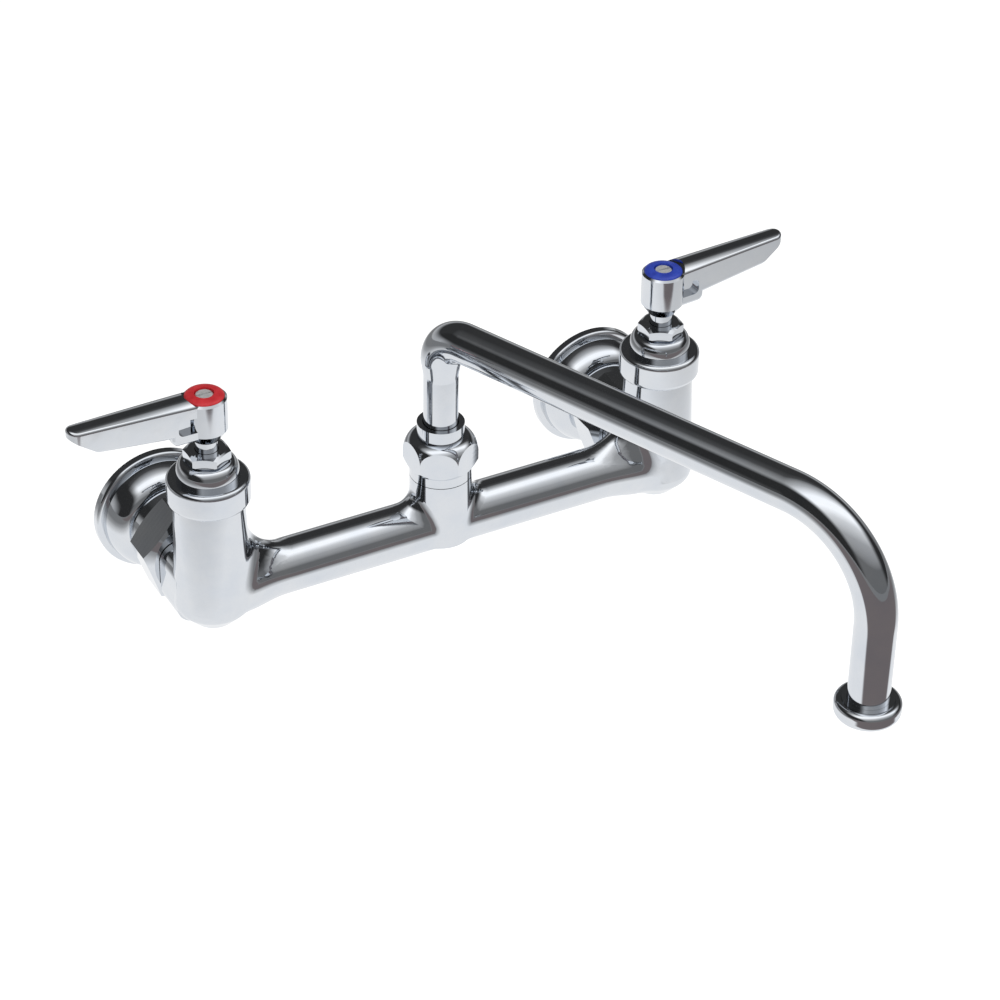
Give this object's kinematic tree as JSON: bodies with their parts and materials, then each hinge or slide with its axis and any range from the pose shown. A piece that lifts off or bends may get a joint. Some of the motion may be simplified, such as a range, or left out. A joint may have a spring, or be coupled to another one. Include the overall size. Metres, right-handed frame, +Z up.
{
  "type": "wall mounted kitchen faucet",
  "caption": "Chrome wall faucet with a lever valve at each end of a bar and a bent tube spout that swings on a hub in the middle.",
  "frame": {"origin": "on the wall, midway between the axes of the two inlets", "axes": "+X to the cold side, -Y out of the wall, +Z up"},
  "size_m": [0.3176, 0.2627, 0.1207],
  "materials": {
    "chrome": "polished chrome plate",
    "raw_brass": "machined, unplated",
    "rubber": "moulded, matt",
    "fibre": "pressed fibre",
    "nylon": "turned",
    "steel_screw": "stainless",
    "red_plastic": "gloss",
    "blue_plastic": "gloss"
  },
  "bodies": {
    "faucet": {"faucet_body": "chrome", "hot_wall_flange": "chrome", "hot_coupling_nut": "chrome", "hot_inlet_tail": "raw_brass", "hot_inlet_washer": "rubber", "hot_valve_seat": "raw_brass", "hot_bonnet": "chrome", "hot_bonnet_gasket": "fibre", "hot_packing_nut": "chrome", "hot_stem_packing": "nylon", "cold_wall_flange": "chrome", "cold_coupling_nut": "chrome", "cold_inlet_tail": "raw_brass", "cold_inlet_washer": "rubber", "cold_valve_seat": "raw_brass", "cold_bonnet": "chrome", "cold_bonnet_gasket": "fibre", "cold_packing_nut": "chrome", "cold_stem_packing": "nylon", "spout_nut": "chrome", "spout_bearing": "nylon"},
    "hot_handle": {"hot_lever_handle": "chrome", "hot_index_ring": "red_plastic", "hot_handle_screw": "steel_screw", "hot_spindle": "chrome"},
    "hot_plunger_group": {"hot_plunger": "raw_brass", "hot_seat_washer": "rubber", "hot_bib_screw": "steel_screw"},
    "cold_handle": {"cold_lever_handle": "chrome", "cold_index_ring": "blue_plastic", "cold_handle_screw": "steel_screw", "cold_spindle": "chrome"},
    "cold_plunger_group": {"cold_plunger": "raw_brass", "cold_seat_washer": "rubber", "cold_bib_screw": "steel_screw"},
    "spout": {"spout_tube": "chrome", "spout_bushing": "raw_brass", "spout_o_rings": "rubber", "spout_tip": "raw_brass", "outlet_ring": "chrome", "outlet_screen": "steel_screw", "outlet_washer": "rubber"}
  },
  "joints": [
    {"name": "hot_lever_turn", "type": "hinge", "parent": "faucet", "child": "hot_handle", "pos_m": [-0.1016, -0.057, 0.08], "axis": [0, 0, 1], "range_deg": [0, 90]},
    {"name": "hot_plunger_lift", "type": "slide", "parent": "faucet", "child": "hot_plunger_group", "axis": [0, 0, 1], "range_m": [0, 0.0025]},
    {"name": "cold_lever_turn", "type": "hinge", "parent": "faucet", "child": "cold_handle", "pos_m": [0.1016, -0.057, 0.08], "axis": [0, 0, -1], "range_deg": [0, 90]},
    {"name": "cold_plunger_lift", "type": "slide", "parent": "faucet", "child": "cold_plunger_group", "axis": [0, 0, 1], "range_m": [0, 0.0025]},
    {"name": "spout_swing", "type": "hinge", "parent": "faucet", "child": "spout", "pos_m": [0, -0.057, 0.03], "axis": [0, 0, 1], "range_deg": [-75.5, 30.5]}
  ],
  "couplings": [
    {"joint": "hot_lever_turn", "follows": "hot_plunger_lift", "rad_per_m": 628},
    {"joint": "cold_lever_turn", "follows": "cold_plunger_lift", "rad_per_m": 628}
  ]
}
